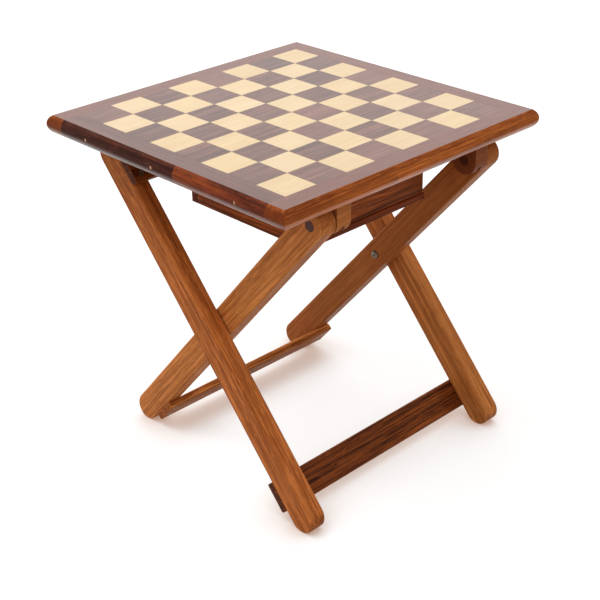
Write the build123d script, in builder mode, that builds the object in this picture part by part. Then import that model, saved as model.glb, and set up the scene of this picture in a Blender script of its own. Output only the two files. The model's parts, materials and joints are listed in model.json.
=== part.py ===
from build123d import *
from math import cos, radians, sin
import os

# Folding chess table: an inlaid board with a rounded edge on two crossed leg frames, and a small
# case for the chessmen under the board, with a sliding lid for its floor. The inner frame turns on
# two dowels near the board's front edge, and the outer frame is screwed to the inner one where the
# legs cross.
# The origin is on the floor under the middle of the board. X runs along the dowels, Y from the
# dowels to the free side, Z up. Left is -X and front is -Y. Millimetres and degrees.

os.makedirs("parts", exist_ok=True)

# Board
square = 31.75
squares_per_side = 8
border_w = 21.3
board_t = 16.0
nose_depth = 4.5  # how far the rounded edge swells past the flat top
inlay_t = 3.2
glue_line = 0.1
table_h = 304.8
left_joint_y = -22.0  # joint between the two pieces of the left strip

# Brads in the left edge
brad_r = 1.4
brad_len = 34.0
brad_sink = 0.3
brad_places = (-94.0, 5.0, 92.0)

# Leg frames
leg_w = 25.0
leg_t = 16.5
leg_angle = 49.0
upper_len = 173.0  # from the dowel to the crossing screw
inner_clear = 89.0  # from the middle to the inner legs
head_gap = 1.5  # between the rounded leg heads and the board
pin_inset = 19.3  # from the board's front edge to the dowels
foot_flat = 0.4  # how deep the floor cuts into the rounded feet
arris = 1.0
fold_play = 0.1  # the inner legs are this much shy of the slats that fold over them

# Foot slats and top rail
slat_w = 27.0
slat_t = 7.0
rail_head_gap = 9.0  # from the middle of an outer leg's head to the top rail
slat_foot_gap = 27.1  # along the leg, from the floor to a foot slat

# Hinge brackets and dowels
bracket_t = 15.0
bracket_gap = 0.4
pin_r = 4.75
pin_play = 0.08

# Crossing screws and washers
pivot_r = 2.4
pivot_play = 0.08
pivot_head_r = 4.2
pivot_head_h = 2.2
pivot_head_taper = 30.0
pivot_bite = 12.0
washer_r = 8.0
washer_t = 0.8
face_play = 0.1

# Wood screws
screw_r = 1.5
screw_head_r = 2.8
screw_bite = 10.0
screw_spread = 14.0
bracket_screw_spread = 17.0
bracket_screw_seat = 4.0  # below the dowel's axis

# Case for the chessmen
case_w = 140.0
case_h = 60.0
case_wall = 8.0
case_fold_gap = 5.0  # between the case and the folded foot slat
case_rail_gap = 5.7  # between the case and the top rail
case_brad_r = 0.8
case_brad_len = 24.0
case_brad_inset = 14.0

# Sliding lid: a panel in grooves, with a lip across the front of the case
lid_t = 4.0
lid_up = 2.2  # from the bottom of the case to the panel
lid_play = 0.25
lid_tongue = 4.0  # how far the panel's edges reach into the case
lip_h = 6.4
lip_proud = 1.2
lip_gap = 0.4

# Levels and places worked out from the sizes above
half_field = square * squares_per_side / 2
half_board = half_field + border_w
half_flat = half_board - nose_depth
underside = table_h - board_t
inlay_z = table_h - inlay_t
nose_z = underside + board_t / 2
pin_y = pin_inset - half_board
outer_half = leg_w / 2
inner_half = outer_half - fold_play
pin_z = underside - head_gap - inner_half
lean_y = cos(radians(leg_angle))
lean_z = sin(radians(leg_angle))
pivot_y = pin_y + upper_len * lean_y
pivot_z = pin_z - upper_len * lean_z
frame_gap = washer_t + face_play
inner_x = inner_clear
inner_outside = inner_x + leg_t
outer_x = inner_outside + frame_gap
outer_outside = outer_x + leg_t
foot_len = pivot_z / lean_z
foot_slat_near = foot_len - slat_foot_gap - slat_w
rail_near = upper_len - rail_head_gap - slat_w
rail_corner_y = pivot_y + rail_near * lean_y - (outer_half + slat_t) * lean_z
bracket_mid = inner_x - bracket_gap - bracket_t / 2
case_front_y = pin_y + upper_len - foot_slat_near + case_fold_gap
case_back_y = rail_corner_y - case_rail_gap
case_bottom_z = underside - case_h
case_side_x = case_w / 2
case_inside = case_side_x - case_wall
sides_y = (case_front_y + case_wall, case_back_y - case_wall)

INNER, OUTER = -1, 1
LEFT, RIGHT = -1, 1
SIDES = {"left": LEFT, "right": RIGHT}
half_width = {INNER: inner_half, OUTER: outer_half}


def save(piece, name):
    """Label a finished piece and write it to its own file."""
    piece.part.label = name
    export_step(piece.part, f"parts/{name}.step")


def block(x, y, z, mode=Mode.ADD):
    """Add or cut a rectangular board that spans three ranges in the current part."""
    with BuildSketch(Plane.XY.offset(min(z))) as outline:
        with Locations((sum(x) / 2, sum(y) / 2)):
            Rectangle(abs(x[1] - x[0]), abs(y[1] - y[0]))
    extrude(outline.sketch, amount=abs(z[1] - z[0]), mode=mode)


def rods(plane, places, radius, length, mode=Mode.ADD):
    """Add or cut a row of round rods that start on a plane."""
    with BuildSketch(plane) as ends:
        with Locations(*places):
            Circle(radius)
    extrude(ends.sketch, amount=length, mode=mode)


def leg_plane(x, frame):
    """Plane across a leg at x: its X runs up the leg from the crossing, its Y to the upper face."""
    return Plane(origin=(x, pivot_y, pivot_z), x_dir=(0, frame * lean_y, lean_z), z_dir=(frame, 0, 0))


def screw_planes(frame, face, middle):
    """Planes of the four screws of a slat, on its outer face.

    The face is 1 on the legs' upper side and -1 on their lower side.
    """
    leg_middle = (inner_x if frame == INNER else outer_x) + leg_t / 2
    planes = []
    for side in (LEFT, RIGHT):
        across = leg_plane(side * leg_middle, frame)
        for along in (middle - screw_spread / 2, middle + screw_spread / 2):
            centre = across.from_local_coords((along, face * (half_width[frame] + slat_t), 0))
            planes.append(Plane(origin=centre, x_dir=(1, 0, 0), z_dir=across.y_dir * face))
    return planes


screw_head_h = screw_head_r - screw_r
screw_len = slat_t + screw_bite

# Places that more than one piece shares
board_edge = Plane.YZ.offset(-half_board)
brad_spots = [(place, nose_z) for place in brad_places]
bracket_seat_z = pin_z - bracket_screw_seat
bracket_seats = {
    name: [
        Plane(origin=(side * bracket_mid, pin_y + end * bracket_screw_spread / 2, bracket_seat_z),
              z_dir=(0, 0, -1))
        for end in (-1, 1)
    ]
    for name, side in SIDES.items()
}
bracket_screw_len = underside - bracket_seat_z + screw_bite


def bracket_screw_holes():
    """Cut the holes of the bracket screws up through the current part."""
    with Locations(*bracket_seats["left"], *bracket_seats["right"]):
        Cylinder(screw_r, bracket_screw_len, align=(Align.CENTER, Align.CENTER, Align.MAX),
                 mode=Mode.SUBTRACT)


# Field of the board
with BuildPart() as field_core:
    block((-half_field, half_field), (-half_field, half_field), (underside, inlay_z))
    bracket_screw_holes()
    rods(board_edge, brad_spots, brad_r, brad_sink + brad_len, mode=Mode.SUBTRACT)
save(field_core, "field_core")

for name, odd in (("light_squares", 0), ("dark_squares", 1)):
    centres = [
        (square * (column + 0.5) - half_field, square * (row + 0.5) - half_field)
        for column in range(squares_per_side)
        for row in range(squares_per_side)
        if (column + row) % 2 == odd
    ]
    with BuildPart() as squares:
        with BuildSketch(Plane.XY.offset(inlay_z)):
            with Locations(*centres):
                Rectangle(square - glue_line, square - glue_line)
        extrude(amount=inlay_t)
    save(squares, name)


# Border: two extrusions with arched edges cross, so the noses meet in sharp mitre lines at the corners
def nosed_board():
    """Fill the current part with the whole board, its four edges swelling out in a shallow arc."""
    for plane, mode in ((Plane.XZ, Mode.ADD), (Plane.YZ, Mode.INTERSECT)):
        with BuildSketch(plane) as section:
            with BuildLine():
                Line((-half_flat, table_h), (half_flat, table_h))
                ThreePointArc((half_flat, table_h), (half_board, nose_z), (half_flat, underside))
                Line((half_flat, underside), (-half_flat, underside))
                ThreePointArc((-half_flat, underside), (-half_board, nose_z), (-half_flat, table_h))
            make_face()
        extrude(section.sketch, amount=half_board, both=True, mode=mode)


strips = {
    "border_front": ((-half_board, half_board), (-half_board, -half_field)),
    "border_back": ((-half_board, half_board), (half_field, half_board)),
    "border_right": ((half_field, half_board), (-half_field, half_field)),
    "border_left_front": ((-half_board, -half_field), (-half_field, left_joint_y)),
    "border_left_back": ((-half_board, -half_field), (left_joint_y, half_field)),
}
for name, (x_range, y_range) in strips.items():
    with BuildPart() as strip:
        nosed_board()
        block(x_range, y_range, (underside, table_h), mode=Mode.INTERSECT)
        if name.startswith("border_left"):
            rods(board_edge, brad_spots, brad_r, brad_sink + brad_len, mode=Mode.SUBTRACT)
        if name == "border_front":
            bracket_screw_holes()
    save(strip, name)

with BuildPart() as edge_brads:
    rods(board_edge.offset(brad_sink), brad_spots, brad_r, brad_len)
save(edge_brads, "edge_brads")


# Hinge brackets, as wide as the inner legs, with their screws up into the board
for name, side in SIDES.items():
    with BuildPart() as bracket:
        with BuildSketch(Plane.YZ.offset(side * bracket_mid)) as section:
            with Locations((pin_y, pin_z)):
                Circle(inner_half)
            with Locations((pin_y, (pin_z + underside) / 2)):
                Rectangle(2 * inner_half, underside - pin_z)
            with Locations((pin_y, pin_z)):
                Circle(pin_r + pin_play, mode=Mode.SUBTRACT)
        extrude(section.sketch, amount=bracket_t / 2, both=True)
        bracket_screw_holes()
        with Locations(*bracket_seats[name]):
            Cylinder(screw_head_r, inner_half, align=(Align.CENTER, Align.CENTER, Align.MIN),
                     mode=Mode.SUBTRACT)
    save(bracket, f"hinge_bracket_{name}")

with BuildPart() as bracket_screws:
    with Locations(*bracket_seats["left"], *bracket_seats["right"]):
        Cylinder(screw_head_r, screw_head_h, align=(Align.CENTER, Align.CENTER, Align.MIN))
        Cylinder(screw_r, bracket_screw_len, align=(Align.CENTER, Align.CENTER, Align.MAX))
save(bracket_screws, "bracket_screws")


# Case for the chessmen: four walls under the board, open below for the lid
lip_z = case_bottom_z + lip_h
panel_z = (case_bottom_z + lid_up, case_bottom_z + lid_up + lid_t)
panel_x = case_inside + lid_tongue - lid_play
groove_z = (panel_z[0] - lid_play, panel_z[1] + lid_play)
case_brad_spots = [
    (side * (case_side_x - case_wall / 2), z)
    for side in (LEFT, RIGHT)
    for z in (groove_z[1] + case_brad_inset, underside - case_brad_inset)
]
case_back_face = Plane.XZ.offset(-case_back_y)


def lid_groove():
    """Cut the lid's groove in the current wall."""
    groove_x = case_inside + lid_tongue
    block((-groove_x, groove_x), (sides_y[0], sides_y[1] + lid_tongue), groove_z, mode=Mode.SUBTRACT)


for name, side in SIDES.items():
    with BuildPart() as case_side:
        block((side * case_inside, side * case_side_x), sides_y, (case_bottom_z, underside))
        lid_groove()
        rods(case_back_face, case_brad_spots, case_brad_r, case_brad_len, mode=Mode.SUBTRACT)
    save(case_side, f"case_side_{name}")

with BuildPart() as case_back:
    block((-case_side_x, case_side_x), (sides_y[1], case_back_y), (case_bottom_z, underside))
    lid_groove()
    rods(case_back_face, case_brad_spots, case_brad_r, case_brad_len, mode=Mode.SUBTRACT)
save(case_back, "case_back")

with BuildPart() as case_front:
    block((-case_side_x, case_side_x), (case_front_y, sides_y[0]), (lip_z + lip_gap, underside))
save(case_front, "case_front")

with BuildPart() as case_brads:
    rods(case_back_face, case_brad_spots, case_brad_r, case_brad_len)
save(case_brads, "case_brads")


# Sliding lid: the panel is glued in a groove along the back of its lip
lip_back_y = sides_y[0] - lid_play
panel_y = (lip_back_y - lid_tongue, sides_y[1] + lid_tongue - lid_play)

with BuildPart() as lid_panel:
    block((-panel_x, panel_x), panel_y, panel_z)
save(lid_panel, "lid_panel")

with BuildPart() as lid_lip:
    block((-case_side_x - lip_proud, case_side_x + lip_proud), (case_front_y - lip_proud, lip_back_y),
          (case_bottom_z, lip_z))
    chamfer(lid_lip.edges().filter_by(Axis.X).group_by(Axis.Y)[0], length=arris)
    block((-panel_x, panel_x), panel_y, panel_z, mode=Mode.SUBTRACT)
save(lid_lip, "lid_lip")


# Legs: straight sides between a rounded head and a rounded foot, which stands on a narrow flat
def leg_blank(frame, near, far):
    """Add a leg between two X places, both given from the middle outwards on one side."""
    start = min(near, far) if frame == OUTER else max(near, far)
    half = half_width[frame]
    foot = (half - foot_flat - pivot_z) / lean_z
    with BuildSketch(leg_plane(start, frame)) as outline:
        with Locations(((upper_len + foot) / 2, 0)):
            SlotCenterToCenter(upper_len - foot, 2 * half)
    extrude(outline.sketch, amount=leg_t)


def level_foot():
    """Cut the current leg off at the floor."""
    block((-half_board, half_board), (-half_board, half_board), (-leg_w, 0), mode=Mode.SUBTRACT)


foot_slat_middle = -foot_slat_near - slat_w / 2
rail_middle = rail_near + slat_w / 2
inner_slat_screws = screw_planes(INNER, -1, foot_slat_middle)
outer_slat_screws = screw_planes(OUTER, -1, foot_slat_middle)
top_rail_screws = screw_planes(OUTER, 1, rail_middle)

for name, side in SIDES.items():
    with BuildPart() as inner_leg:
        leg_blank(INNER, side * inner_x, side * inner_outside)
        chamfer(inner_leg.faces().filter_by(Axis.X).edges(), length=arris)
        level_foot()
        with BuildSketch(Plane.YZ.offset(side * inner_x)) as bores:
            with Locations((pin_y, pin_z)):
                Circle(pin_r)
            with Locations((pivot_y, pivot_z)):
                Circle(pivot_r + pivot_play)
        extrude(bores.sketch, amount=side * leg_t, mode=Mode.SUBTRACT)
        with Locations(*inner_slat_screws):
            Hole(screw_r, depth=screw_len)
    save(inner_leg, f"inner_leg_{name}")

    with BuildPart() as outer_leg:
        leg_blank(OUTER, side * outer_x, side * outer_outside)
        chamfer(outer_leg.faces().filter_by(Axis.X).edges(), length=arris)
        level_foot()
        with BuildSketch(Plane.YZ.offset(side * outer_x)) as bores:
            with Locations((pivot_y, pivot_z)):
                Circle(pivot_r)
        extrude(bores.sketch, amount=side * pivot_bite, mode=Mode.SUBTRACT)
        with Locations(*outer_slat_screws, *top_rail_screws):
            Hole(screw_r, depth=screw_len)
    save(outer_leg, f"outer_leg_{name}")


# Slats across the frames, countersunk for their screws
slats = {
    "inner_slat": (INNER, -1, foot_slat_middle, inner_outside, inner_slat_screws),
    "outer_slat": (OUTER, -1, foot_slat_middle, outer_outside, outer_slat_screws),
    "top_rail": (OUTER, 1, rail_middle, outer_outside, top_rail_screws),
}
for name, (frame, face, middle, half_len, planes) in slats.items():
    with BuildPart() as slat:
        with BuildSketch(leg_plane(0, frame)) as section:
            with Locations((middle, face * (half_width[frame] + slat_t / 2))):
                Rectangle(slat_w, slat_t)
            chamfer(section.vertices(), length=arris)
        extrude(amount=half_len, both=True)
        with Locations(*planes):
            CounterSinkHole(screw_r, screw_head_r, depth=slat_t, counter_sink_angle=90)
    save(slat, name)

    with BuildPart() as slat_screws:
        with Locations(*planes):
            Cone(screw_r, screw_head_r, screw_head_h, align=(Align.CENTER, Align.CENTER, Align.MAX))
            with Locations((0, 0, -screw_head_h)):
                Cylinder(screw_r, screw_len - screw_head_h, align=(Align.CENTER, Align.CENTER, Align.MAX))
    save(slat_screws, f"{name}_screws")


# Dowels, glued in the inner legs and free to turn in the brackets
with BuildPart() as hinge_pins:
    for side in (LEFT, RIGHT):
        with BuildSketch(Plane.YZ.offset(side * inner_outside)) as section:
            with Locations((pin_y, pin_z)):
                Circle(pin_r)
        extrude(section.sketch, amount=-side * (leg_t + bracket_gap + bracket_t))
save(hinge_pins, "hinge_pins")


# Crossing screws: the head is on the inner leg, the thread bites in the outer leg
with BuildPart() as pivot_screws:
    for side in (LEFT, RIGHT):
        with BuildSketch(Plane.YZ.offset(side * (outer_x + pivot_bite))) as shank:
            with Locations((pivot_y, pivot_z)):
                Circle(pivot_r)
        extrude(shank.sketch, amount=-side * (pivot_bite + frame_gap + leg_t + face_play))
        with BuildSketch(Plane.YZ.offset(side * (inner_x - face_play))) as head:
            with Locations((pivot_y, pivot_z)):
                Circle(pivot_head_r)
        extrude(head.sketch, amount=-side * pivot_head_h, taper=pivot_head_taper)
save(pivot_screws, "pivot_screws")

with BuildPart() as pivot_washers:
    for side in (LEFT, RIGHT):
        with BuildSketch(Plane.YZ.offset(side * outer_x)) as ring:
            with Locations((pivot_y, pivot_z)):
                Circle(washer_r)
                Circle(pivot_r, mode=Mode.SUBTRACT)
        extrude(ring.sketch, amount=-side * washer_t)
save(pivot_washers, "pivot_washers")
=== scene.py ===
import json
import math

import bpy
import numpy as np
from bpy.props import FloatProperty, FloatVectorProperty, PointerProperty
from bpy.types import Operator, Panel, PropertyGroup
from mathutils import Matrix, Vector


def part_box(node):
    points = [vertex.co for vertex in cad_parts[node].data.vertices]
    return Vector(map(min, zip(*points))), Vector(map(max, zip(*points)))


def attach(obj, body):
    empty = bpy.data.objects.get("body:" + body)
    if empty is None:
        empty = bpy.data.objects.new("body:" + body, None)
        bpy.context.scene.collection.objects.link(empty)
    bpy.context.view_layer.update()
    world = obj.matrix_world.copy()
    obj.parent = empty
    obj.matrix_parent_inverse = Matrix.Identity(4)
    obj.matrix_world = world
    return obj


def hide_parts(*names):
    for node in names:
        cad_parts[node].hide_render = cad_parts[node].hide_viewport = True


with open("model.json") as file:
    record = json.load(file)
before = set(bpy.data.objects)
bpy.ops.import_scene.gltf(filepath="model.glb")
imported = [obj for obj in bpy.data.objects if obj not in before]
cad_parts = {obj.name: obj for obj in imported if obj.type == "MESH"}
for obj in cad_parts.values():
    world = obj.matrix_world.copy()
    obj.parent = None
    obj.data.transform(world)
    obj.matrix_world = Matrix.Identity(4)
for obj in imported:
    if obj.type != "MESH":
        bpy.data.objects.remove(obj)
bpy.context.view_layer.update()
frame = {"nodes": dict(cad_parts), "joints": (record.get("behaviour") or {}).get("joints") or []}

bl_info = {
    "name": "Folding Chess Table",
    "version": (1, 0, 0),
    "blender": (4, 5, 0),
    "location": "View3D > Sidebar > Chess Table",
    "description": "Oiled and varnished woods, screws and stage for a folding chess table",
    "category": "Object",
}

NODES = frame["nodes"]
JOINTS = {joint["name"]: joint for joint in frame["joints"]}
DOWEL = Vector(JOINTS["fold"]["pos_m"])
CROSSING = Vector(JOINTS["leg_cross"]["pos_m"])
LEAN = math.atan2(DOWEL.z - CROSSING.z, CROSSING.y - DOWEL.y)
FIELD_LOW, FIELD_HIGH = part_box("field_core")
SQUARE = (FIELD_HIGH.x - FIELD_LOW.x) / 8

# Grain along Y, and the tilt of the inner legs' grain
ALONG_Y = (0.0, 0.0, math.pi / 2)
UP_INNER = math.pi - LEAN

# How much paler a wood's figure and its rubbed edges with their painted highlight are, how much darker
# its veins and pores, and how much darker the tarnish on the screws
PALER = 1.3
PALER_LIFT = 0.006
DARKER = 0.5
TARNISHED = 0.35

# Screws: steps round a screw and along its head, and the angle above which an edge stays sharp
SPOKES = 48
DOME_STEPS = 26
FLAT_STEPS = 24
SHARP = math.radians(40)

# Arms of a cross recess: the shares of their length and width over which they run out, then for a
# domed and for a flat head their length as a share of its radius, and half their width
ARM_END = 0.35
ARM_SIDE = 0.5
DOME_ARMS = (0.45, 0.0006)
FLAT_ARMS = (0.55, 0.0005)

# Stage: half the floor's side, the reach of the painted shadow beside the feet, the floor's brightness
# as the table sees it, and the two shares of its brightness in the picture; the glow's share carries
# the painted shadow
FLOOR_REACH = 6.0
PAINTED_SHADOW_REACH = 0.055
FLOOR_BOUNCE = 0.5
FLOOR_SHADED = 0.42
FLOOR_GLOW = 0.74

# Lamps: place, target, and width and height
BACK_LAMP = ((1.45, 1.65, 1.35), (0, 0, 0.3), (2.2, 1.3))
TOP_LAMP = ((-0.7, 0.5, 1.9), (0, 0, 0.2), (0.9, 0.9))


def tint(red, green, blue):
    """Linear colour of an 8-bit screen colour."""
    parts = [value / 255 for value in (red, green, blue)]
    return tuple(p / 12.92 if p <= 0.04045 else ((p + 0.055) / 1.055) ** 2.4 for p in parts)


def colour(name, text, red, green, blue):
    """A colour property with a screen colour for its default."""
    return FloatVectorProperty(name=name, description=text, subtype="COLOR", size=3, min=0, max=1,
                               default=tint(red, green, blue))


class BoardFinish(PropertyGroup):
    """Woods of the board."""

    light: colour("Light squares", "Pale wood of the light squares", 227, 198, 148)
    light_deep: colour("Light grain", "Darker grain of the light squares", 206, 166, 112)
    dark: colour("Dark squares", "Brown wood of the dark squares", 152, 100, 82)
    dark_deep: colour("Dark grain", "Darker grain of the dark squares", 62, 34, 28)
    light_other: colour("Light squares, second", "Pinker wood of some light squares", 228, 200, 160)
    dark_other: colour("Dark squares, second", "Greyer wood of some dark squares", 126, 85, 75)
    border_top: colour("Border top", "Flat top of the border strips", 124, 79, 67)
    border: colour("Border", "Wood of the front, back and right strips", 216, 120, 50)
    border_deep: colour("Border grain", "Darker grain of the border strips", 104, 42, 14)
    left: colour("Left strip", "Reddish front piece of the left strip", 140, 62, 34)
    left_deep: colour("Left strip grain", "Dark grain of the front piece of the left strip", 44, 20, 15)
    left_dark: colour("Left strip, dark piece", "Dark back piece of the left strip", 84, 44, 32)
    left_patch: colour("Front piece patches", "Orange patches of the strip's front piece", 190, 92, 42)
    left_dark_patch: colour("Back piece patches", "Reddish patches of the strip's back piece", 124, 60, 38)
    gloss: FloatProperty(name="Varnish", description="Weight of the varnish over the wood", default=1.0,
                         min=0, max=1, subtype="FACTOR")


class FrameFinish(PropertyGroup):
    """Woods of the legs, slats, brackets, case and lid."""

    leg: colour("Legs", "Orange brown wood of the right outer and left inner legs", 224, 141, 73)
    leg_red: colour("Legs, second", "Redder wood of the left outer leg", 206, 120, 58)
    leg_dark: colour("Legs, third", "Browner wood of the right inner leg", 184, 110, 53)
    leg_deep: colour("Leg grain", "Darker grain of the legs", 136, 66, 24)
    slat: colour("Dark slats", "Dark wood of the front foot slat and the top rail", 166, 86, 36)
    slat_deep: colour("Dark slat grain", "Streaks of the front foot slat and the top rail", 52, 20, 9)
    bracket: colour("Left bracket", "Lighter wood of the left hinge bracket", 198, 120, 62)
    # Painted shade: the right bracket's colour is a darker copy of the bracket wood
    bracket_dark: colour("Right bracket", "Browner wood of the right hinge bracket", 142, 78, 44)
    bracket_deep: colour("Bracket rings", "Growth rings of the hinge brackets", 112, 56, 26)
    case: colour("Case", "Brown wood of the case walls", 200, 104, 48)
    case_deep: colour("Case grain", "Streaks of the case walls", 70, 28, 10)
    lip: colour("Lid lip", "Reddish wood of the lip of the lid", 186, 88, 42)
    dowel: colour("Dowels", "End grain of the dowels", 100, 52, 34)
    gloss: FloatProperty(name="Varnish", description="Weight of the varnish over the wood", default=0.0,
                         min=0, max=1, subtype="FACTOR")


class MetalFinish(PropertyGroup):
    """Screws, washers and brads."""

    zinc: colour("Screws", "Plated steel of the screws and washers", 126, 117, 106)
    brad: colour("Brads", "Dull heads of the brads in the left edge", 205, 165, 125)
    recess: FloatProperty(name="Recess depth", description="Depth of the cross recess in a screw head",
                          default=0.0011, min=0, max=0.002, unit="LENGTH")
    head: FloatProperty(name="Dome radius", description="Radius of a crossing screw's head",
                        default=0.0037, min=0.002, max=0.01, unit="LENGTH")
    dome: FloatProperty(name="Dome height", description="Height of a crossing screw's head",
                        default=0.0022, min=0.001, max=0.01, unit="LENGTH")
    shank: FloatProperty(name="Shank radius", description="Radius of a crossing screw's shank",
                         default=0.0024, min=0.001, max=0.01, unit="LENGTH")
    play: FloatProperty(name="Head play", description="Gap between a crossing screw's head and the leg",
                        default=0.0001, min=0, max=0.001, unit="LENGTH")
    sunk: FloatProperty(name="Sunk radius", description="Radius of a slat screw's flat head",
                        default=0.0028, min=0.001, max=0.01, unit="LENGTH")
    wood_shank: FloatProperty(name="Slat screw shank", description="Radius of a slat screw's shank",
                              default=0.0015, min=0.001, max=0.01, unit="LENGTH")
    wood_length: FloatProperty(name="Slat screw length", description="Length of a slat screw",
                               default=0.017, min=0.005, max=0.05, unit="LENGTH")
    pair: FloatProperty(name="Screw step", description="Half the distance between two screws of a slat",
                        default=0.007, min=0, max=0.02, unit="LENGTH")
    slat: FloatProperty(name="Slat thickness",
                        description="Thickness of the slats under the screw heads", default=0.007,
                        min=0.001, max=0.02, unit="LENGTH")


class StageFinish(PropertyGroup):
    """Camera, floor and lamps."""

    place: FloatVectorProperty(name="Camera place", description="Where the camera stands",
                               subtype="TRANSLATION", default=(-0.7039, -0.7510, 0.6733))
    turn: FloatVectorProperty(name="Camera turn", description="How the camera is turned",
                              subtype="EULER",
                              default=[math.radians(angle) for angle in (61.910, 1.117, -43.950)])
    lens: FloatProperty(name="Lens", description="Focal length in millimetres on a 36 mm frame",
                        default=76.54, min=10, max=300)
    ambient: FloatProperty(name="Ambient", description="Strength of the even light all round",
                           default=0.7, min=0, max=2)
    back: FloatProperty(name="Back lamp",
                        description="Power of the wide lamp behind the table, in watts", default=24.0,
                        min=0, max=200)
    key: FloatProperty(name="Top lamp", description="Power of the lamp above and to the left, in watts",
                       default=14.0, min=0, max=200)
    floor: colour("Floor", "Plain pale floor", 244, 240, 238)
    # Painted shadow: the tone the floor's glow takes right beside the feet
    painted_contact_shadow: colour("Floor painted shadow", "Painted shadow tone of the floor right beside the feet", 196, 160, 138)


def settings():
    """The four groups of settings, for board, frames, metal and stage."""
    return [getattr(bpy.context.scene, name) for name in GROUPS]


class Tree:
    """Small helper that adds and links nodes."""

    def __init__(self, tree):
        self.tree = tree

    def node(self, kind, inputs=(), **options):
        made = self.tree.nodes.new(kind)
        for name, value in options.items():
            setattr(made, name, value)
        for key, value in dict(inputs).items():
            if isinstance(value, bpy.types.NodeSocket):
                self.tree.links.new(value, made.inputs[key])
            else:
                made.inputs[key].default_value = value
        return made

    def math(self, operation, *values, clamp=False):
        return self.node("ShaderNodeMath", dict(enumerate(values)), operation=operation,
                         use_clamp=clamp).outputs[0]

    def vector(self, operation, *values):
        made = self.node("ShaderNodeVectorMath", dict(enumerate(values)), operation=operation)
        return made.outputs[0]

    def join(self, x, y, z):
        return self.node("ShaderNodeCombineXYZ", {0: x, 1: y, 2: z}).outputs[0]

    def noise(self, vector, detail, roughness=0.5, distortion=0.0):
        made = self.node("ShaderNodeTexNoise", {"Vector": vector, "Scale": 1.0, "Detail": detail,
                         "Roughness": roughness, "Distortion": distortion}, noise_dimensions="3D")
        return made.outputs["Fac"]

    def mix(self, factor, first, second):
        return self.node("ShaderNodeMix", {0: factor, 6: first, 7: second}, data_type="RGBA").outputs[2]

    def share(self, mask, amount):
        """A mask at part of its strength."""
        return self.math("MULTIPLY", mask, amount)

    def span(self, value, low, high, to_low=0.0, to_high=1.0):
        """A smooth step from one value to the other between two limits."""
        made = self.node("ShaderNodeMapRange", {"Value": value, "From Min": low, "From Max": high,
                         "To Min": to_low, "To Max": to_high}, interpolation_type="SMOOTHSTEP")
        return made.outputs["Result"]

    def link(self, value, socket):
        self.tree.links.new(value, socket)


def new_group(name, inputs, outputs):
    """A shader node group, with its inner tree and the group's own inputs and outputs."""
    group = bpy.data.node_groups.new(name, "ShaderNodeTree")
    for label, kind, default in inputs:
        socket = group.interface.new_socket(label, in_out="INPUT", socket_type=kind)
        if default is not None:
            socket.default_value = default
    for label, kind in outputs:
        group.interface.new_socket(label, in_out="OUTPUT", socket_type=kind)
    inner = Tree(group)
    return group, inner, inner.node("NodeGroupInput").outputs, inner.node("NodeGroupOutput").inputs


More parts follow.
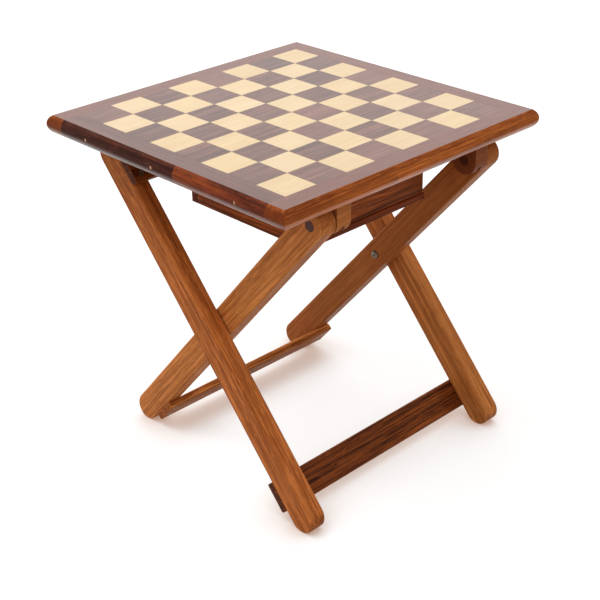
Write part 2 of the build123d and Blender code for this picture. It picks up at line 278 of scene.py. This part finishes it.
def wood_grain_group():
    """Grain of a piece of wood whose length runs along X.

    Growth rings are shells at equal distances round the X axis, bent by slow noise. Streaks, fibres
    and pores are noise drawn out along X, and veins are the thin lines where such noise is near its
    middle value.
    """
    group, t, given, out = new_group(
        "Wood Grain",
        [("Vector", "NodeSocketVector", None), ("Ring Spacing", "NodeSocketFloat", 0.004),
         ("Wander", "NodeSocketFloat", 0.006), ("Streak Width", "NodeSocketFloat", 0.0022)],
        [("Rings", "NodeSocketFloat"), ("Streaks", "NodeSocketFloat"), ("Fibre", "NodeSocketFloat"),
         ("Pores", "NodeSocketFloat"), ("Figure", "NodeSocketFloat"), ("Veins", "NodeSocketFloat"),
         ("Flecks", "NodeSocketFloat")],
    )
    place = given["Vector"]
    slow = t.noise(t.vector("MULTIPLY", place, (9.0, 34.0, 34.0)), 2.0, 0.5)
    bend = t.math("MULTIPLY", t.math("SUBTRACT", slow, 0.5), given["Wander"])
    parts = t.node("ShaderNodeSeparateXYZ", {0: place}).outputs
    across = t.math("SQRT", t.math("ADD", t.math("MULTIPLY", parts[1], parts[1]),
                                   t.math("MULTIPLY", parts[2], parts[2])))
    bent = t.math("ADD", across, t.math("MULTIPLY", bend, 3.0))
    shell = t.math("DIVIDE", bent, given["Ring Spacing"])
    phase = t.math("FRACT", shell)
    rise = t.span(phase, 0.25, 0.86)
    fall = t.span(phase, 0.9, 1.0, 1.0, 0.0)
    chance = t.node("ShaderNodeTexWhiteNoise", {"W": t.math("FLOOR", shell)}, noise_dimensions="1D")
    strength = t.math("MULTIPLY_ADD", chance.outputs[0], 0.8, 0.2)
    t.link(t.math("MULTIPLY", t.math("MULTIPLY", rise, fall), strength), out["Rings"])

    fine = t.math("DIVIDE", 1.0, given["Streak Width"])
    wide = t.math("DIVIDE", 0.3, given["Streak Width"])
    coarse = t.noise(t.vector("MULTIPLY", place, t.join(5.0, wide, wide)), 2.0, 0.5, 0.3)
    narrow = t.noise(t.vector("MULTIPLY", place, t.join(13.0, fine, fine)), 3.0, 0.6, 0.2)
    streak = t.math("MULTIPLY_ADD", coarse, 0.5, t.math("MULTIPLY", narrow, 0.5))
    t.link(t.span(streak, 0.38, 0.62), out["Streaks"])
    vein = t.noise(t.vector("MULTIPLY", place, t.join(7.0, fine, fine)), 1.0, 0.5, 0.4)
    line = t.math("ABSOLUTE", t.math("SUBTRACT", vein, 0.5))
    t.link(t.span(line, 0.0, 0.05, 1.0, 0.0), out["Veins"])
    fibre = t.noise(t.vector("MULTIPLY", place, (40.0, 900.0, 900.0)), 2.0, 0.6)
    t.link(t.span(fibre, 0.3, 0.7), out["Fibre"])
    pore = t.noise(t.vector("MULTIPLY", place, (70.0, 1100.0, 1100.0)), 2.0, 0.5)
    t.link(t.span(pore, 0.58, 0.7), out["Pores"])
    figure = t.noise(t.vector("MULTIPLY", place, (14.0, 34.0, 34.0)), 3.0, 0.6, 0.6)
    t.link(t.span(figure, 0.3, 0.7), out["Figure"])
    fleck = t.noise(t.vector("MULTIPLY", place, (70.0, 420.0, 420.0)), 3.0, 0.6, 0.3)
    t.link(t.span(fleck, 0.48, 0.68), out["Flecks"])
    return group


def square_cells_group():
    """Numbers for each square of the field, so that every square is cut from its own piece of wood."""
    group, t, given, out = new_group(
        "Square Cells",
        [("Vector", "NodeSocketVector", None), ("Square", "NodeSocketFloat", SQUARE)],
        [("Shifted", "NodeSocketVector"), ("Shade", "NodeSocketFloat"), ("Tone", "NodeSocketFloat"),
         ("Seam", "NodeSocketFloat")],
    )
    parts = t.node("ShaderNodeSeparateXYZ", {0: given["Vector"]}).outputs
    across = t.math("DIVIDE", parts[0], given["Square"])
    along = t.math("DIVIDE", parts[1], given["Square"])
    cell = t.join(t.math("FLOOR", across), t.math("FLOOR", along), 0.0)
    chance = t.node("ShaderNodeTexWhiteNoise", {"Vector": cell}, noise_dimensions="3D").outputs
    shift = t.vector("MULTIPLY", chance["Color"], (0.9, 0.7, 0.05))
    t.link(t.vector("ADD", given["Vector"], shift), out["Shifted"])
    t.link(chance["Value"], out["Shade"])
    other = t.node("ShaderNodeTexWhiteNoise", {"Vector": cell, "W": 3.0}, noise_dimensions="4D")
    t.link(other.outputs[0], out["Tone"])
    edges = [t.math("ABSOLUTE", t.math("SUBTRACT", t.math("FRACT", side), 0.5))
             for side in (across, along)]
    t.link(t.span(t.math("MAXIMUM", *edges), 0.489, 0.499), out["Seam"])
    return group


def edge_wear_group():
    """Mask of the rubbed edges, which also carries a painted highlight along them: where the rounded
    normal turns away from the flat one.
    """
    group, t, given, out = new_group(
        "Edge Wear and Highlight",
        [("Vector", "NodeSocketVector", None), ("Radius", "NodeSocketFloat", 0.0012)],
        [("Mask", "NodeSocketFloat"), ("Normal", "NodeSocketVector")],
    )
    soft = t.node("ShaderNodeBevel", {"Radius": given["Radius"]}, samples=6).outputs[0]
    flat = t.node("ShaderNodeNewGeometry").outputs["True Normal"]
    turn = t.node("ShaderNodeVectorMath", {0: soft, 1: flat}, operation="DOT_PRODUCT").outputs["Value"]
    patchy = t.noise(t.vector("MULTIPLY", given["Vector"], (120.0, 120.0, 120.0)), 3.0)
    mask = t.math("MULTIPLY", t.span(turn, 0.99, 0.8), t.span(patchy, 0.3, 0.65))
    t.link(mask, out["Mask"])
    t.link(soft, out["Normal"])
    return group


def placed(name):
    """The node group of that name, built once."""
    makers = {"Wood Grain": wood_grain_group, "Square Cells": square_cells_group,
              "Edge Wear and Highlight": edge_wear_group}
    return bpy.data.node_groups.get(name) or makers[name]()


def new_material(name):
    """A material with one Principled shader, and the helper for its tree."""
    material = bpy.data.materials.new(name)
    material.use_nodes = True
    material.node_tree.nodes.clear()
    tree = Tree(material.node_tree)
    shader = tree.node("ShaderNodeBsdfPrincipled")
    output = tree.node("ShaderNodeOutputMaterial")
    material.node_tree.links.new(shader.outputs[0], output.inputs[0])
    return material, tree, shader


def wood(name, pale, deep, gloss, turn=(0, 0, 0), core=(0, 0, 0), spacing=0.004, wander=0.006,
         rings=0.5, streaks=0.6, streak_width=0.0022, veins=0.35, pores=0.5, figure=0.35, cells=None,
         top=None, roughness=0.45, shine=0.06, wear=0.3, flecks=0.0, patch=None):
    """A varnished wood.

    turn and core carry the grain's X axis and the middle of its rings to the piece. cells gives every
    square its own cut of the wood, between the pale colour and this second one. top is a colour for
    the faces that look straight up, and it brings a painted shade on the band where the edge turns
    over. patch is a colour for the wood's figure.
    """
    material, t, shader = new_material(name)
    place = t.node("ShaderNodeTexCoord").outputs["Object"]
    source = place
    if cells:
        cut = t.node("ShaderNodeGroup", {"Vector": place}, node_tree=placed("Square Cells")).outputs
        source = cut["Shifted"]
    local = t.node("ShaderNodeMapping", {"Vector": source, "Location": core, "Rotation": turn},
                   vector_type="TEXTURE").outputs[0]
    grain = t.node("ShaderNodeGroup", {"Vector": local, "Ring Spacing": spacing, "Wander": wander,
                   "Streak Width": streak_width}, node_tree=placed("Wood Grain")).outputs
    rubbed_and_highlit_edges = t.node("ShaderNodeGroup", {"Vector": place}, node_tree=placed("Edge Wear and Highlight")).outputs

    def full(tone):
        return (*tone, 1.0)

    light = tuple(min(1.0, part * PALER + PALER_LIFT) for part in pale)
    dark = tuple(part * DARKER for part in deep)
    base = full(pale)
    strength = streaks
    normal = t.node("ShaderNodeNewGeometry").outputs["True Normal"]
    if cells:
        base = t.mix(cut["Shade"], full(pale), full(cells))
        strength = t.span(cut["Tone"], 0.0, 1.0, streaks * 0.45, streaks)
    if top:
        # The flat top, the painted shade of a darker band where the edge turns over, and the varnish's
        # sheen below its middle
        upward = t.node("ShaderNodeSeparateXYZ", {0: normal}).outputs[2]
        flat = t.span(upward, 0.88, 0.95)
        varnished = t.math("MAXIMUM", flat, t.span(upward, -0.1, -0.4, 0.0, 0.7))
        # Painted shade: the band where the edge turns over is darkened towards the grain colour
        base = t.mix(t.share(t.span(upward, 0.35, 0.6), 0.55), base, full(deep))
        base = t.mix(flat, base, full(top))
        strength = t.span(flat, 0.0, 1.0, streaks, streaks * 0.4)
        figure = t.span(flat, 0.0, 1.0, figure, 0.0)
        flecks = t.span(flat, 0.0, 1.0, flecks, 0.1)
    body = t.mix(t.share(grain["Figure"], figure), base, full(patch or light))
    body = t.mix(t.share(grain["Streaks"], strength), body, full(deep))
    body = t.mix(t.share(grain["Rings"], t.share(strength, rings)), body, full(deep))
    body = t.mix(t.share(grain["Veins"], t.share(strength, veins)), body, full(dark))
    if flecks:
        body = t.mix(t.share(grain["Flecks"], flecks), body, full(light))
    body = t.mix(t.share(grain["Pores"], t.share(strength, pores)), body, full(dark))
    body = t.mix(t.span(grain["Fibre"], 0.0, 1.0, 0.0, 0.25), body, full(deep))
    facing = t.node("ShaderNodeMapping", {"Vector": normal, "Rotation": turn}, vector_type="TEXTURE")
    lengthwise = t.math("ABSOLUTE", t.node("ShaderNodeSeparateXYZ", {0: facing.outputs[0]}).outputs[0])
    body = t.mix(t.span(lengthwise, 0.55, 0.9, 0.0, 0.8 if top else 0.5), body, full(deep))
    if cells:
        body = t.mix(t.share(cut["Seam"], 0.5), body, full(dark))
    # Paler rubbed edges, partly a painted highlight along the arrises
    body = t.mix(t.share(rubbed_and_highlit_edges["Mask"], wear), body, full(light))
    t.link(body, shader.inputs["Base Color"])

    rough = t.math("ADD", t.math("MULTIPLY_ADD", grain["Fibre"], 0.10, roughness - 0.05),
                   t.share(grain["Pores"], 0.2))
    t.link(rough, shader.inputs["Roughness"])
    height = t.math("SUBTRACT", t.share(grain["Fibre"], 0.25), grain["Pores"])
    bump = t.node("ShaderNodeBump", {"Strength": 0.35, "Distance": 0.00012, "Height": height,
                                     "Normal": rubbed_and_highlit_edges["Normal"]})
    t.link(bump.outputs[0], shader.inputs["Normal"])
    if top:
        t.link(t.share(varnished, gloss), shader.inputs["Coat Weight"])
    else:
        shader.inputs["Coat Weight"].default_value = gloss
    shader.inputs["Coat Roughness"].default_value = 0.28
    shader.inputs["Coat IOR"].default_value = 1.62
    shader.inputs["Specular IOR Level"].default_value = shine
    shader.inputs["IOR"].default_value = 1.5
    return material


def metal(name, tone, roughness, tarnish):
    """Plated steel with fine turning marks and patchy tarnish."""
    material, t, shader = new_material(name)
    place = t.node("ShaderNodeTexCoord").outputs["Object"]
    fine = t.noise(t.vector("MULTIPLY", place, (2600.0, 2600.0, 2600.0)), 3.0, 0.6)
    patch = t.noise(t.vector("MULTIPLY", place, (420.0, 420.0, 420.0)), 3.0)
    dull = tuple(part * TARNISHED for part in tone)
    body = t.mix(t.span(patch, 0.35, 0.7, 0.0, tarnish), (*tone, 1.0), (*dull, 1.0))
    t.link(body, shader.inputs["Base Color"])
    rough = t.span(fine, 0.3, 0.7, roughness - 0.08, roughness + 0.12)
    t.link(rough, shader.inputs["Roughness"])
    bump = t.node("ShaderNodeBump", {"Strength": 0.25, "Distance": 0.00005, "Height": fine})
    t.link(bump.outputs[0], shader.inputs["Normal"])
    shader.inputs["Metallic"].default_value = 1.0
    return material


def turned_screws(name, heads, profile, recess):
    """Screws as surfaces of revolution, all in one mesh.

    The profile gives radius and height along each screw's axis. It is carried round in SPOKES steps:
    point = origin + radius (cos a side + sin a across) + (height - cut) axis. The cut is the depth of a
    cross recess, which falls off towards the ends and the sides of its two arms.
    """
    depth, reach, width = recess
    radius, height = (column[:, None] for column in np.array(profile).T)
    turn = np.linspace(0.0, 2.0 * np.pi, SPOKES, endpoint=False)[None, :]
    along, over = np.abs(radius * np.cos(turn)), np.abs(radius * np.sin(turn))
    ends = np.clip((reach - np.maximum(along, over)) / (ARM_END * reach), 0.0, 1.0)
    sides = np.clip((width - np.minimum(along, over)) / (ARM_SIDE * width), 0.0, 1.0)
    cut = depth * ends * sides * (height >= -0.5 * depth)
    points, faces = [], []
    rows = len(profile)
    ring = np.arange(SPOKES)
    after = np.roll(ring, -1)
    for number, (origin, axis) in enumerate(heads):
        axis = np.array(axis)
        side = np.array((1.0, 0.0, 0.0)) if abs(axis[0]) < 0.5 else np.array((0.0, 1.0, 0.0))
        across = np.cross(axis, side)
        body = np.array(origin) + (radius * np.cos(turn))[..., None] * side \
            + (radius * np.sin(turn))[..., None] * across + (height - cut)[..., None] * axis
        top = np.array(origin) + (profile[0][1] - depth) * axis
        tip = np.array(origin) + profile[-1][1] * axis
        first = number * (rows * SPOKES + 2)
        points += [body.reshape(-1, 3), top[None, :], tip[None, :]]
        for row in range(rows - 1):
            low, high = first + row * SPOKES, first + (row + 1) * SPOKES
            faces += np.stack((low + ring, high + ring, high + after, low + after), axis=1).tolist()
        last = first + (rows - 1) * SPOKES
        peak = first + rows * SPOKES
        faces += np.stack((first + ring, first + after, np.full(SPOKES, peak)), axis=1).tolist()
        faces += np.stack((last + after, last + ring, np.full(SPOKES, peak + 1)), axis=1).tolist()
    mesh = bpy.data.meshes.new(name)
    mesh.from_pydata(np.concatenate(points).tolist(), [], faces)
    mesh.update()
    mesh.polygons.foreach_set("use_smooth", np.ones(len(faces), bool))
    mesh.set_sharp_from_angle(angle=SHARP)
    thing = bpy.data.objects.new(name, mesh)
    bpy.context.scene.collection.objects.link(thing)
    return thing


def middle_of(node):
    """The middle of a CAD node's box."""
    low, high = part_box(node)
    return (low + high) / 2


def dress_in_wood(node, pale, deep, gloss, **grain):
    """Give a CAD node a wood of its own."""
    dress(node, wood(node.replace("_", " ") + " wood", pale, deep, gloss, **grain))


def dress(node, material):
    """Give a CAD node a material in its object's slots."""
    thing = NODES[node]
    if not thing.material_slots:
        thing.data.materials.append(material)
    for slot in thing.material_slots:
        slot.material = material


class CHESSTABLE_OT_board(Operator):
    """Put the woods on the squares, the core and the border"""

    bl_idname = "chess_table.board"
    bl_label = "Dress Board"

    def execute(self, context):
        b, _, _, _ = settings()
        top = FIELD_HIGH.z
        dress_in_wood("light_squares", b.light, b.light_deep, b.gloss, cells=b.light_other,
                      core=(0, 0, top - 0.05), spacing=0.0035, rings=0.5, streaks=0.24,
                      streak_width=0.003, veins=0.1, pores=0.2, figure=0.25, wear=0.0)
        dress_in_wood("dark_squares", b.dark, b.dark_deep, b.gloss, cells=b.dark_other,
                      core=(0, 0.01, top - 0.04), spacing=0.0045, rings=0.3, streaks=0.85,
                      streak_width=0.0009, veins=0.4, pores=0.7, figure=0.3, wear=0.0)
        dress("field_core", wood("core wood", b.light_deep, b.border, 0.1, core=(0, 0.3, 0.1),
                                 spacing=0.006, rings=0.4, streaks=0.3, roughness=0.6))
        strips = {
            "border_front": ((0, 0, 0), (0.02, -0.20, 0.25), b.border, b.border_deep, None, 0.35),
            "border_back": ((0, 0, 0), (0.31, 0.21, 0.24), b.border, b.border_deep, None, 0.35),
            "border_right": (ALONG_Y, (0.21, 0.1, 0.25), b.border, b.border_deep, None, 0.35),
            "border_left_front": (ALONG_Y, (-0.11, 0.2, 0.26), b.left, b.left_deep, b.left_patch, 0.9),
            "border_left_back": (ALONG_Y, (-0.12, 0.5, 0.27), b.left_dark, b.left_deep,
                                 b.left_dark_patch, 0.9),
        }
        for name, (turn, core, pale, deep, patch, figure) in strips.items():
            dress_in_wood(name, pale, deep, b.gloss, turn=turn, core=core, top=b.border_top,
                          spacing=0.005, wander=0.008, streaks=0.7, streak_width=0.0018, veins=0.5,
                          figure=figure, flecks=0.7 * figure, patch=patch)
        return {"FINISHED"}


class CHESSTABLE_OT_legs(Operator):
    """Put the woods on the four legs"""

    bl_idname = "chess_table.legs"
    bl_label = "Dress Legs"

    def execute(self, context):
        _, f, _, _ = settings()
        places = {
            "outer_leg_left": (LEAN, (-0.15, 0.03, 0.1), f.leg_red, 0.8, 0.6),
            "outer_leg_right": (LEAN, (0.13, 0.25, 0.13), f.leg, 0.6, 0.25),
            "inner_leg_left": (UP_INNER, (-0.12, -0.1, 0.1), f.leg, 0.6, 0.25),
            "inner_leg_right": (UP_INNER, (0.12, -0.3, 0.12), f.leg_dark, 0.4, 0.2),
        }
        for name, (angle, core, pale, streaks, flecks) in places.items():
            # X of the grain is first laid along Y, then leaned up the leg
            turn = Matrix.Rotation(angle, 3, "X") @ Matrix.Rotation(math.pi / 2, 3, "Z")
            # The strong pale edges are partly a painted highlight along the legs' arrises
            dress_in_wood(name, pale, f.leg_deep, f.gloss, turn=tuple(turn.to_euler()), core=core,
                          spacing=0.0055, wander=0.01, rings=0.5, streaks=streaks, streak_width=0.0014,
                          veins=0.6, figure=0.7, wear=0.5, flecks=flecks)
        return {"FINISHED"}


class CHESSTABLE_OT_slats(Operator):
    """Put the woods on the foot slats and the top rail"""

    bl_idname = "chess_table.slats"
    bl_label = "Dress Slats"

    def execute(self, context):
        _, f, _, _ = settings()
        places = {
            "outer_slat": ((0.1, -0.2, 0.0), f.slat, f.slat_deep),
            "inner_slat": ((0.3, 0.2, 0.1), f.leg, f.leg_deep),
            "top_rail": ((0.5, 0.15, 0.4), f.slat, f.slat_deep),
        }
        for name, (core, pale, deep) in places.items():
            # The strong pale edges are partly a painted highlight along the slats' top edges
            dress_in_wood(name, pale, deep, f.gloss, core=core, spacing=0.0042, rings=0.7, streaks=0.95,
                          streak_width=0.0018, veins=0.7, wear=0.9, flecks=0.25)
        return {"FINISHED"}


class CHESSTABLE_OT_case(Operator):
    """Put the woods on the case for the chessmen and its sliding lid"""

    bl_idname = "chess_table.case"
    bl_label = "Dress Case and Lid"

    def execute(self, context):
        _, f, _, _ = settings()
        places = {
            "case_front": ((0, 0, 0), (0.2, -0.12, 0.3), f.case, f.case_deep),
            "case_back": ((0, 0, 0), (0.4, 0.1, 0.2), f.case, f.case_deep),
            "case_side_left": (ALONG_Y, (-0.1, 0.3, 0.27), f.case, f.case_deep),
            "case_side_right": (ALONG_Y, (0.1, 0.1, 0.23), f.case, f.case_deep),
            "lid_panel": ((0, 0, 0), (0.1, 0.3, 0.1), f.leg, f.leg_deep),
            "lid_lip": ((0, 0, 0), (0.15, -0.14, 0.2), f.lip, f.case_deep),
        }
        for name, (turn, core, pale, deep) in places.items():
            dress_in_wood(name, pale, deep, f.gloss, turn=turn, core=core, spacing=0.0035, wander=0.005,
                          rings=0.7, streaks=0.85, streak_width=0.0016, veins=0.6)
        return {"FINISHED"}


class CHESSTABLE_OT_brackets(Operator):
    """Put the woods on the hinge brackets and dowels"""

    bl_idname = "chess_table.brackets"
    bl_label = "Dress Brackets and Dowels"

    def execute(self, context):
        _, f, _, _ = settings()
        # The right bracket takes the darker copy of the bracket wood, a painted shade
        for side, pale in (("left", f.bracket), ("right", f.bracket_dark)):
            name = f"hinge_bracket_{side}"
            heart = middle_of(name) + Vector((0.0, -0.01, 0.012))
            dress_in_wood(name, pale, f.bracket_deep, f.gloss, core=heart, spacing=0.0028, wander=0.003,
                          rings=0.6, streaks=0.3, pores=0.4)
        dress("hinge_pins", wood("dowel wood", f.dowel, f.case_deep, 0.2, core=DOWEL, spacing=0.0016,
                                 wander=0.001, rings=0.4, streaks=0.4, pores=0.6))
        return {"FINISHED"}


class CHESSTABLE_OT_metal(Operator):
    """Put the metals on the screws, washers and brads"""

    bl_idname = "chess_table.metal"
    bl_label = "Dress Screws and Brads"

    def execute(self, context):
        _, _, m, _ = settings()
        zinc = metal("zinc plate", m.zinc, 0.34, 0.5)
        for name in ("bracket_screws", "pivot_washers"):
            dress(name, zinc)
        brad = metal("brad heads", m.brad, 0.45, 0.7)
        for name in ("edge_brads", "case_brads"):
            dress(name, brad)
        return {"FINISHED"}


class CHESSTABLE_OT_crossing_screws(Operator):
    """Turn the two crossing screws, with domed heads and cross recesses"""

    bl_idname = "chess_table.crossing_screws"
    bl_label = "Make Crossing Screws"

    def execute(self, context):
        _, _, m, _ = settings()
        inner_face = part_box("inner_leg_right")[0].x - m.play
        heads = [((side * inner_face, CROSSING.y, CROSSING.z), (-side, 0.0, 0.0)) for side in (-1, 1)]
        slope = np.linspace(0.0, 0.5 * np.pi, DOME_STEPS)
        dome = np.stack((m.head * np.sin(slope), m.dome * np.sqrt(np.cos(slope))), axis=1)[1:]
        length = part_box("pivot_screws")[1].x - inner_face
        shank = [(m.head, 0.0), (m.shank, 0.0), (m.shank, 0.5 * -length), (m.shank, -length)]
        screws = turned_screws("crossing_screws", heads, dome.tolist() + shank,
                               (m.recess, DOME_ARMS[0] * m.head, DOME_ARMS[1]))
        screws.data.materials.append(metal("crossing screw plate", m.zinc, 0.34, 0.6))
        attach(screws, "inner_frame")
        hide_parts("pivot_screws")
        return {"FINISHED"}


class CHESSTABLE_OT_slat_screws(Operator):
    """Turn the countersunk screws of the foot slats and the top rail"""

    bl_idname = "chess_table.slat_screws"
    bl_label = "Make Slat Screws"

    def execute(self, context):
        _, _, m, _ = settings()
        rise, run = math.sin(LEAN), math.cos(LEAN)
        sets = {
            "inner_slat": ("inner_frame", "inner_leg_right", (0.0, -rise, -run), (0.0, -run, rise)),
            "outer_slat": ("outer_frame", "outer_leg_right", (0.0, rise, -run), (0.0, run, rise)),
            "top_rail": ("outer_frame", "outer_leg_right", (0.0, -rise, run), (0.0, run, rise)),
        }
        grey = metal("slat screw plate", m.zinc, 0.36, 0.6)
        for name, (body, leg, face, up) in sets.items():
            centre = middle_of(name) + Vector(face) * (0.5 * m.slat)
            aside = Vector((middle_of(leg).x, 0.0, 0.0))
            heads = [(tuple(centre + aside * side + Vector(up) * step), face)
                     for side in (-1, 1) for step in (-m.pair, m.pair)]
            flat = [(m.sunk * share, -1e-5) for share in np.linspace(0.04, 1.0, FLAT_STEPS)]
            cone = [(m.wood_shank, m.wood_shank - m.sunk), (m.wood_shank, -0.6 * m.wood_length),
                    (m.wood_shank, -m.wood_length)]
            screws = turned_screws(f"{name}_countersunk", heads, flat + cone,
                                   (m.recess, FLAT_ARMS[0] * m.sunk, FLAT_ARMS[1]))
            screws.data.materials.append(grey)
            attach(screws, body)
            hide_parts(f"{name}_screws")
        return {"FINISHED"}


def lamp(name, place, target, size, power, mirrored=True):
    """A soft lamp of some width and height, facing a target. One not mirrored gives no highlight."""
    data = bpy.data.lights.new(name, "AREA")
    data.shape = "RECTANGLE"
    data.size, data.size_y = size
    data.energy = power
    thing = bpy.data.objects.new(name, data)
    thing.location = place
    thing.rotation_euler = (Vector(target) - Vector(place)).to_track_quat("-Z", "Y").to_euler()
    thing.visible_camera = False
    thing.visible_glossy = mirrored
    bpy.context.scene.collection.objects.link(thing)


def seen_rays(t):
    """The light path's outputs, and a mask of the rays that make the picture and its reflections."""
    rays = t.node("ShaderNodeLightPath").outputs
    seen = t.math("ADD", t.math("ADD", rays["Is Camera Ray"], rays["Is Glossy Ray"]),
                  rays["Is Transmission Ray"], clamp=True)
    return rays, seen


class CHESSTABLE_OT_stage(Operator):
    """Make the floor, the lamps, the world and the camera"""

    bl_idname = "chess_table.stage"
    bl_label = "Set Stage"

    def execute(self, context):
        _, _, _, s = settings()
        scene = context.scene

        mesh = bpy.data.meshes.new("floor")
        corners = ((-1, -1), (1, -1), (1, 1), (-1, 1))
        mesh.from_pydata([(x * FLOOR_REACH, y * FLOOR_REACH, 0) for x, y in corners], [],
                         [(0, 1, 2, 3)])
        floor = bpy.data.objects.new("floor", mesh)
        scene.collection.objects.link(floor)
        material = bpy.data.materials.new("floor")
        material.use_nodes = True
        material.node_tree.nodes.clear()
        t = Tree(material.node_tree)
        tones = [(*(share * part for part in s.floor), 1.0) for share in (FLOOR_BOUNCE, FLOOR_SHADED)]
        matte, pale = (t.node("ShaderNodeBsdfDiffuse", {"Color": tone}).outputs[0] for tone in tones)
        # Painted shadow: the floor's glow in the picture darkens to the painted shadow tone where the feet
        # and slats stand close
        near = t.node("ShaderNodeAmbientOcclusion", {"Distance": PAINTED_SHADOW_REACH}, samples=8)
        tone = t.mix(t.span(near.outputs["AO"], 0.25, 1.0), (*s.painted_contact_shadow, 1.0), (1, 1, 1, 1))
        glow = t.node("ShaderNodeEmission", {"Color": tone, "Strength": FLOOR_GLOW}).outputs[0]
        both = t.node("ShaderNodeAddShader", {0: pale, 1: glow}).outputs[0]
        rays, seen = seen_rays(t)
        mixed = t.node("ShaderNodeMixShader", {0: seen, 1: matte, 2: both}).outputs[0]
        # From below the camera looks through the floor, at the table's underside
        behind = t.node("ShaderNodeNewGeometry").outputs["Backfacing"]
        below = t.math("MULTIPLY", behind, rays["Is Camera Ray"])
        clear = t.node("ShaderNodeBsdfTransparent").outputs[0]
        surface = t.node("ShaderNodeMixShader", {0: below, 1: mixed, 2: clear}).outputs[0]
        t.node("ShaderNodeOutputMaterial", {0: surface})
        mesh.materials.append(material)

        world = bpy.data.worlds.new("studio")
        world.use_nodes = True
        world.node_tree.nodes.clear()
        t = Tree(world.node_tree)
        _, seen = seen_rays(t)
        soft = t.node("ShaderNodeBackground", {"Color": (1, 1, 1, 1), "Strength": s.ambient}).outputs[0]
        white = t.node("ShaderNodeBackground", {"Color": (1, 1, 1, 1), "Strength": 1.0}).outputs[0]
        both = t.node("ShaderNodeMixShader", {0: seen, 1: soft, 2: white}).outputs[0]
        t.node("ShaderNodeOutputWorld", {0: both})
        scene.world = world

        lamp("back lamp", *BACK_LAMP, s.back, mirrored=False)
        lamp("top lamp", *TOP_LAMP, s.key)

        data = bpy.data.cameras.new("camera")
        data.lens = s.lens
        data.sensor_width = 36.0
        data.clip_end = 50.0
        camera = bpy.data.objects.new("camera", data)
        camera.location = s.place
        camera.rotation_euler = s.turn
        scene.collection.objects.link(camera)
        scene.camera = camera
        scene.view_settings.view_transform = "Standard"
        return {"FINISHED"}


OPERATORS = (CHESSTABLE_OT_board, CHESSTABLE_OT_legs, CHESSTABLE_OT_slats, CHESSTABLE_OT_case,
             CHESSTABLE_OT_brackets, CHESSTABLE_OT_metal, CHESSTABLE_OT_crossing_screws,
             CHESSTABLE_OT_slat_screws, CHESSTABLE_OT_stage)
GROUPS = {"chess_table_board": BoardFinish, "chess_table_frame": FrameFinish,
          "chess_table_metal": MetalFinish, "chess_table_stage": StageFinish}


class CHESSTABLE_PT_panel(Panel):
    """Lists the steps and their settings"""

    bl_idname = "CHESSTABLE_PT_panel"
    bl_label = "Chess Table"
    bl_space_type = "VIEW_3D"
    bl_region_type = "UI"
    bl_category = "Chess Table"

    def draw(self, context):
        for name, group in GROUPS.items():
            box = self.layout.box()
            for key in group.__annotations__:
                box.prop(getattr(context.scene, name), key)
        for step in OPERATORS:
            self.layout.operator(step.bl_idname)


def register():
    for group in GROUPS.values():
        bpy.utils.register_class(group)
    for name, group in GROUPS.items():
        setattr(bpy.types.Scene, name, PointerProperty(type=group))
    for step in OPERATORS:
        bpy.utils.register_class(step)
    bpy.utils.register_class(CHESSTABLE_PT_panel)


def unregister():
    bpy.utils.unregister_class(CHESSTABLE_PT_panel)
    for step in reversed(OPERATORS):
        bpy.utils.unregister_class(step)
    for name in GROUPS:
        delattr(bpy.types.Scene, name)
    for group in reversed(list(GROUPS.values())):
        bpy.utils.unregister_class(group)


def main():
    register()
    bpy.ops.chess_table.board()
    bpy.ops.chess_table.legs()
    bpy.ops.chess_table.slats()
    bpy.ops.chess_table.case()
    bpy.ops.chess_table.brackets()
    bpy.ops.chess_table.metal()
    bpy.ops.chess_table.crossing_screws()
    bpy.ops.chess_table.slat_screws()
    bpy.ops.chess_table.stage()


if __name__ == "__main__":
    main()
